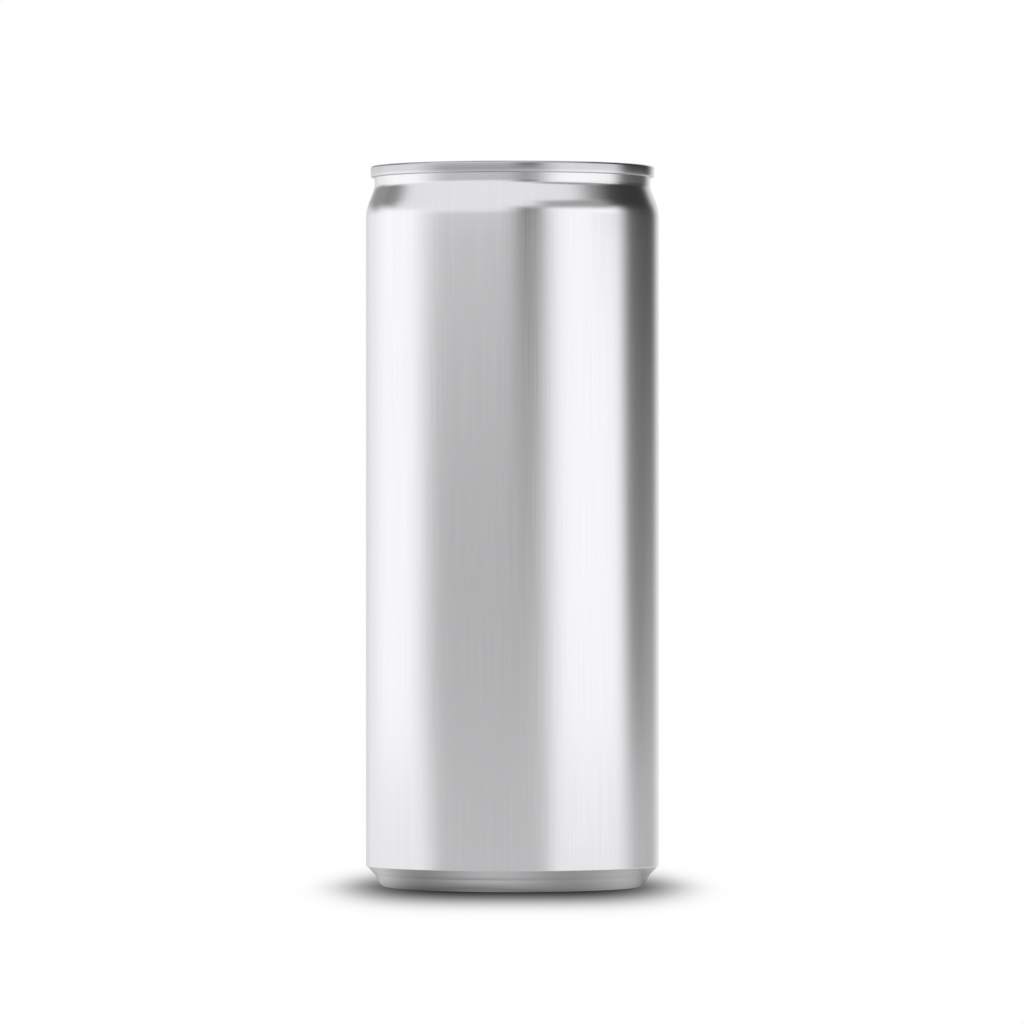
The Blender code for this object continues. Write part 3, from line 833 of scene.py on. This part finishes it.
def dress_end():
    """The lid with its relief, rivet and pour opening. Returns its metal for the tear panel."""
    upper = end_path()
    lower = path_left(upper, [END_GAUGE] * len(upper))[:-1]
    outline = rivet_hollow() + lower[::-1] + upper + rivet_top()
    metal = rolled_aluminium("end_sheet", LID_COLOUR, LID_GRAIN)
    made = turned("lid_shell", outline, False, metal)
    press_relief(made)
    combine(made, cutter("opening_cutter", opening_outline(), PANEL_TOP, PANEL_TOP), "DIFFERENCE")
    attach(made, "can")
    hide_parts("can_end")
    return metal


def dress_flap(metal):
    """The tear panel, cut from the same pressed sheet as the lid."""
    upper = panel_rings()
    lower = path_left(upper, [END_GAUGE] * len(upper))
    made = turned("flap_sheet", upper + lower[::-1], True, metal)
    press_relief(made)
    outline = loop_left(opening_outline(), SCORE_GAP)
    combine(made, cutter("flap_cutter", outline, PANEL_TOP, PANEL_TOP), "INTERSECT")
    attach(made, "flap")
    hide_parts("tear_panel")


def dress_compound():
    """The sealing ring between the top of the body's hook and the roof of the seam."""
    inner = CHUCK_WALL_OUTER + SEAM_CLEARANCE
    outer = SEAM_WALL_INNER - SEAM_CLEARANCE
    bottom = BODY_HOOK_TOP + SEAM_CLEARANCE
    top = CAN_HEIGHT - END_GAUGE - SEAM_CLEARANCE
    round_over = SEAM_TOP_ROUND - END_GAUGE - SEAM_CLEARANCE
    outline = rounded_loop(
        [
            (outer, bottom, 0.0),
            (outer, top, round_over),
            (inner, top, round_over),
            (inner, bottom, 0.0),
        ]
    )
    made = turned("compound_ring", outline, True, sealing_compound())
    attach(made, "can")
    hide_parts("seam_compound")


# Tab


def tab_loop(inset, height):
    """The tab's edge at one height, drawn in by the inset: a round nose and heel joined by tangents."""
    nose_y = TAB_NOSE_RADIUS - TAB_NOSE_REACH
    heel_y = TAB_HEEL_REACH - TAB_HEEL_RADIUS
    lean = math.asin((TAB_NOSE_RADIUS - TAB_HEEL_RADIUS) / (heel_y - nose_y))
    loop = []
    for centre, radius, start, sweep in (
        (nose_y, TAB_NOSE_RADIUS - inset, math.pi - lean, math.pi + 2 * lean),
        (heel_y, TAB_HEEL_RADIUS - inset, lean, math.pi - 2 * lean),
    ):
        for i in range(TAB_ARC_STEPS + 1):
            angle = start + sweep * i / TAB_ARC_STEPS
            loop.append((radius * math.cos(angle), centre + radius * math.sin(angle), height))
    return loop


def tab_blank(metal):
    """The tab before its holes: a web inside a curled rim."""
    top_angle = math.pi - math.asin((WEB_TOP - CURL_MIDDLE) / CURL_RADIUS)
    bottom_angle = math.asin((CURL_MIDDLE - WEB_BOTTOM) / CURL_RADIUS) - math.pi
    loops = []
    for i in range(CURL_STEPS + 1):
        angle = top_angle + (bottom_angle - top_angle) * i / CURL_STEPS
        inset = CURL_RADIUS * (1 - math.cos(angle))
        loops.append(tab_loop(inset, CURL_MIDDLE + CURL_RADIUS * math.sin(angle)))
    return skinned("tab_lever", loops, False, metal)


def finger_outline(outset):
    """The finger hole's edge, moved out by the outset: two half circles side by side."""
    radius = FINGER_HOLE_LENGTH / 2 + outset
    reach = (FINGER_HOLE_WIDTH - FINGER_HOLE_LENGTH) / 2
    points = []
    for side, start in ((reach, -math.pi / 2), (-reach, math.pi / 2)):
        for i in range(FINGER_ARC_STEPS + 1):
            angle = start + math.pi * i / FINGER_ARC_STEPS
            spoke = Vector((math.cos(angle), math.sin(angle))) * radius
            points.append(Vector((side, FINGER_HOLE_Y)) + spoke)
    return points


def finger_curl():
    """The curled edge round the finger hole."""
    middle = (WEB_BOTTOM + WEB_TOP) / 2
    loops = []
    for i in range(FINGER_CURL_STEPS):
        angle = math.tau * i / FINGER_CURL_STEPS
        outset = FINGER_CURL_RADIUS * (1 - math.cos(angle))
        height = middle + FINGER_CURL_RADIUS * math.sin(angle)
        loops.append([(point.x, point.y, height) for point in finger_outline(outset)])
    return skinned("finger_curl", loops, True, None)


def tongue_outline(outset, front):
    """Edge of the tongue, or of the slot round it: straight at the hinge and round behind the rivet."""
    half_width = TONGUE_WIDTH / 2 + outset
    arc_y = TONGUE_REAR - TONGUE_WIDTH / 2
    points = [Vector((-half_width, front)), Vector((half_width, front))]
    for i in range(TONGUE_ARC_STEPS + 1):
        angle = math.pi * i / TONGUE_ARC_STEPS
        points.append(Vector((half_width * math.cos(angle), arc_y + half_width * math.sin(angle))))
    return points


def dress_tab(metal):
    """The lever, with its finger hole and the slot round the tongue."""
    made = tab_blank(metal)
    hole_outline = finger_outline(FINGER_CURL_RADIUS)
    combine(made, cutter("finger_cutter", hole_outline, WEB_BOTTOM, WEB_TOP), "DIFFERENCE")
    combine(made, finger_curl(), "UNION")
    slot_outline = tongue_outline(TONGUE_GAP, TAB_HINGE_Y - TONGUE_GAP / 2)
    combine(made, cutter("slot_cutter", slot_outline, WEB_BOTTOM, WEB_TOP), "DIFFERENCE")
    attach(made, "tab")
    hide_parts("pull_tab")


def dress_tongue(metal):
    """The part of the tab's sheet that stays under the head of the rivet."""
    outline = tongue_outline(0.0, TAB_HINGE_Y + TONGUE_GAP / 2)
    made = plate("rivet_tongue", outline, WEB_BOTTOM, WEB_TOP, metal)
    bore = circle(RIVET_STEM_RADIUS + RIVET_CLEARANCE)
    combine(made, cutter("rivet_bore", bore, WEB_BOTTOM, WEB_TOP), "DIFFERENCE")
    soften(made, TONGUE_EDGE_ROUND, TONGUE_EDGE_STEPS)
    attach(made, "can")
    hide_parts("tab_tongue")


# Studio


def seen_rays(nodes):
    """1 for rays that the camera sees straight, in a reflection or through glass, and 0 for lighting."""
    path = nodes.add("ShaderNodeLightPath").outputs
    seen = nodes.math("MAXIMUM", path["Is Camera Ray"], path["Is Glossy Ray"])
    return nodes.math("MAXIMUM", seen, path["Is Transmission Ray"])


def front_wave(nodes, across, depth, turn, waves):
    """A wave of so many crests round the can, turned by an angle and fading out behind the can."""
    angle = nodes.math("ARCTAN2", across, nodes.math("MULTIPLY", depth, -1.0))
    phase = nodes.math("MULTIPLY", nodes.math("ADD", angle, turn), waves)
    return nodes.math("MULTIPLY", nodes.math("COSINE", phase), nodes.stretch(depth, WAVE_FADE))


def foot_light(nodes, across, depth, reach):
    """The floor's painted light below the foot, which starts at a wavy edge, ripples and leans sideways.
    """
    swing = front_wave(nodes, across, depth, FOOT_TURN, FOOT_WAVES)
    inner = nodes.math("MULTIPLY_ADD", swing, FOOT_SWING, FOOT_INNER)
    light = nodes.math("MAXIMUM", nodes.stretch(reach, (inner, FOOT_OUTER)), FOOT_LEAST)
    share = nodes.math("DIVIDE", across, BODY_RADIUS)
    slope = nodes.math("MULTIPLY_ADD", nodes.math("POWER", share, 2.0), FOOT_LEAN_BEND, FOOT_LEAN)
    lean = nodes.math("MULTIPLY_ADD", share, slope, 1.0)
    ripple = front_wave(nodes, across, depth, RIPPLE_TURN, RIPPLE_WAVES)
    uneven = nodes.math("MULTIPLY_ADD", ripple, RIPPLE_SWING, lean)
    return nodes.math("MULTIPLY", nodes.math("MULTIPLY", light, FOOT_LEVEL), uneven)


def mirrored_floor(nodes, across, depth):
    """How bright the base mirrors the floor: painted light that only reflections see, dark at its foot,
    brighter outside and below the dome.
    """
    reach = nodes.length(nodes.add("ShaderNodeCombineXYZ", {"X": across, "Y": depth}).outputs["Vector"])
    foot = foot_light(nodes, across, depth, reach)
    outside = nodes.math("MULTIPLY", nodes.stretch(reach, OUTSIDE_FADE), OUTSIDE_LEVEL)
    dome = nodes.math("MULTIPLY", nodes.stretch(reach, DOME_FADE), DOME_LEVEL)
    return nodes.math("MAXIMUM", nodes.math("MAXIMUM", foot, outside), dome)


def soft_shadow(nodes, across, depth):
    """How bright the floor looks round the can: a painted soft oval shadow, long towards the camera and
    behind.
    """
    side = nodes.math("ABSOLUTE", nodes.math("DIVIDE", across, SHADOW_HALF_WIDTH))
    along = nodes.math("DIVIDE", nodes.math("ADD", depth, SHADOW_SHIFT), SHADOW_HALF_LENGTH)
    side = nodes.math("POWER", side, SHADOW_SIDE_POWER)
    along = nodes.math("POWER", nodes.math("ABSOLUTE", along), SHADOW_END_POWER)
    reach = nodes.math("POWER", nodes.math("ADD", side, along), SHADOW_FADE_POWER)
    shade = nodes.math("EXPONENT", nodes.math("MULTIPLY", reach, -1.0))
    return nodes.math("SUBTRACT", 1.0, shade)


def white_floor():
    """White with a painted soft shadow for rays that are seen, painted brightness round the foot for
    reflections, pale for light, and clear from below.
    """
    material = bpy.data.materials.new("white_floor")
    nodes = Nodes(material)
    place = nodes.add("ShaderNodeTexCoord").outputs["Object"]
    parts = nodes.add("ShaderNodeSeparateXYZ", {"Vector": place}).outputs
    # Painted shadow on the floor for rays that are seen
    light = soft_shadow(nodes, parts["X"], parts["Y"])
    glossy = nodes.add("ShaderNodeLightPath").outputs["Is Glossy Ray"]
    # Painted brightness that only glossy rays see, so the base and dome show it as painted reflection
    mirrored = nodes.math("MULTIPLY", glossy, mirrored_floor(nodes, parts["X"], parts["Y"]))
    white = nodes.add("ShaderNodeEmission", {"Strength": nodes.math("MAXIMUM", light, mirrored)})
    pale = nodes.add("ShaderNodeBsdfDiffuse", {"Color": FLOOR_COLOUR})
    clear = nodes.add("ShaderNodeBsdfTransparent")
    above = nodes.mix_shaders(seen_rays(nodes), pale.outputs["BSDF"], white.outputs["Emission"])
    from_below = nodes.add("ShaderNodeNewGeometry").outputs["Backfacing"]
    nodes.finish(nodes.mix_shaders(from_below, above, clear.outputs["BSDF"]))
    return material


def build_floor():
    """The floor that the can stands on."""
    bm = bmesh.new()
    bmesh.ops.create_grid(bm, x_segments=1, y_segments=1, size=FLOOR_SIZE / 2)
    mesh = mesh_from("floor", bm)
    mesh.materials.append(white_floor())
    placed("floor", mesh)


def soft_window(nodes, value, ends, edge):
    """1 where the value lies between the ends and 0 outside, with soft edges."""
    rise, fall = (nodes.stretch(value, (end - edge / 2, end + edge / 2), "SMOOTHSTEP") for end in ends)
    return nodes.math("SUBTRACT", rise, fall)


def studio_light():
    """The light of the studio, panel over panel."""
    material = bpy.data.materials.new("studio_light")
    nodes = Nodes(material)
    place = nodes.add("ShaderNodeUVMap", uv_map="UVMap").outputs["UV"]
    parts = nodes.add("ShaderNodeSeparateXYZ", {"Vector": place})
    turn = nodes.math("MULTIPLY", parts.outputs["X"], math.degrees(math.tau))
    level = STUDIO_LEVEL
    for panel in STUDIO_PANELS:
        across = soft_window(nodes, turn, panel.turns, panel.turn_edge)
        upright = soft_window(nodes, parts.outputs["Y"], panel.heights, panel.height_edge)
        inputs = {"Factor": nodes.math("MULTIPLY", across, upright), "A": level, "B": panel.level}
        level = nodes.add("ShaderNodeMix", inputs, label=panel.name).outputs["Result"]
    nodes.finish(nodes.add("ShaderNodeEmission", {"Strength": level}).outputs["Emission"])
    return material


def mirrored_spot(share, reach):
    """The spot that the can mirrors to the camera at one share of a turn, so far from the can."""
    turn = math.tau * share
    x = BODY_RADIUS * math.sin(turn / 2) + reach * math.sin(turn)
    y = BODY_RADIUS * math.cos(turn / 2) + reach * math.cos(turn)
    return x, -y


def studio_mesh():
    """The studio's floor, round wall and ceiling, with the turn and the way up the wall as its UV map."""
    rings = (
        (STUDIO_FLOOR_GAP, STUDIO_FLOOR_HEIGHT, STUDIO_FLOOR_GAP - STUDIO_RADIUS),
        (STUDIO_RADIUS, STUDIO_FLOOR_HEIGHT, 0.0),
        (STUDIO_RADIUS, STUDIO_HEIGHT, STUDIO_HEIGHT),
        (0.0, STUDIO_HEIGHT, STUDIO_HEIGHT + STUDIO_RADIUS),
    )
    bm = bmesh.new()
    layer = bm.loops.layers.uv.new("UVMap")
    for j in range(STUDIO_SEGMENTS):
        for low, high in zip(rings, rings[1:]):
            corners = []
            for step, (reach, height, along) in ((j, low), (j + 1, low), (j + 1, high), (j, high)):
                share = step / STUDIO_SEGMENTS - 0.5
                corners.append((bm.verts.new((*mirrored_spot(share, reach), height)), (share, along)))
            face = bm.faces.new([vert for vert, _ in corners])
            for loop, (_, uv) in zip(face.loops, corners):
                loop[layer].uv = uv
    return mesh_from("studio_wall", bm)


def build_studio():
    """The wall that the metal reflects. The camera looks through it."""
    mesh = studio_mesh()
    mesh.materials.append(studio_light())
    wall = placed("studio_wall", mesh)
    wall.visible_camera = False
    wall.visible_shadow = False


def build_world():
    """A sky that is white to rays that are seen, and dimmer as light."""
    world = bpy.data.worlds.new("studio")
    bpy.context.scene.world = world
    nodes = Nodes(world)
    strength = nodes.between(seen_rays(nodes), (DIFFUSE_SKY, 1.0))
    background = nodes.tree.nodes["Background"]
    background.inputs["Color"].default_value = WHITE
    nodes.link(strength, background.inputs["Strength"])


def build_camera():
    """The level camera of the photograph."""
    data = bpy.data.cameras.new("camera")
    data.lens = CAMERA_LENS_MM
    data.sensor_width = SENSOR_MM
    camera = placed("camera", data)
    camera.location = (CAMERA_ACROSS, -CAMERA_DISTANCE, CAMERA_HEIGHT)
    camera.rotation_euler = (math.pi / 2, 0.0, 0.0)
    bpy.context.scene.camera = camera


bpy.context.scene.view_settings.view_transform = "Standard"
dress_body()
end_sheet = dress_end()
dress_flap(end_sheet)
dress_compound()
tab_sheet = rolled_aluminium("tab_sheet", TAB_COLOUR, TAB_GRAIN)
dress_tab(tab_sheet)
dress_tongue(tab_sheet)
build_floor()
build_studio()
build_world()
build_camera()
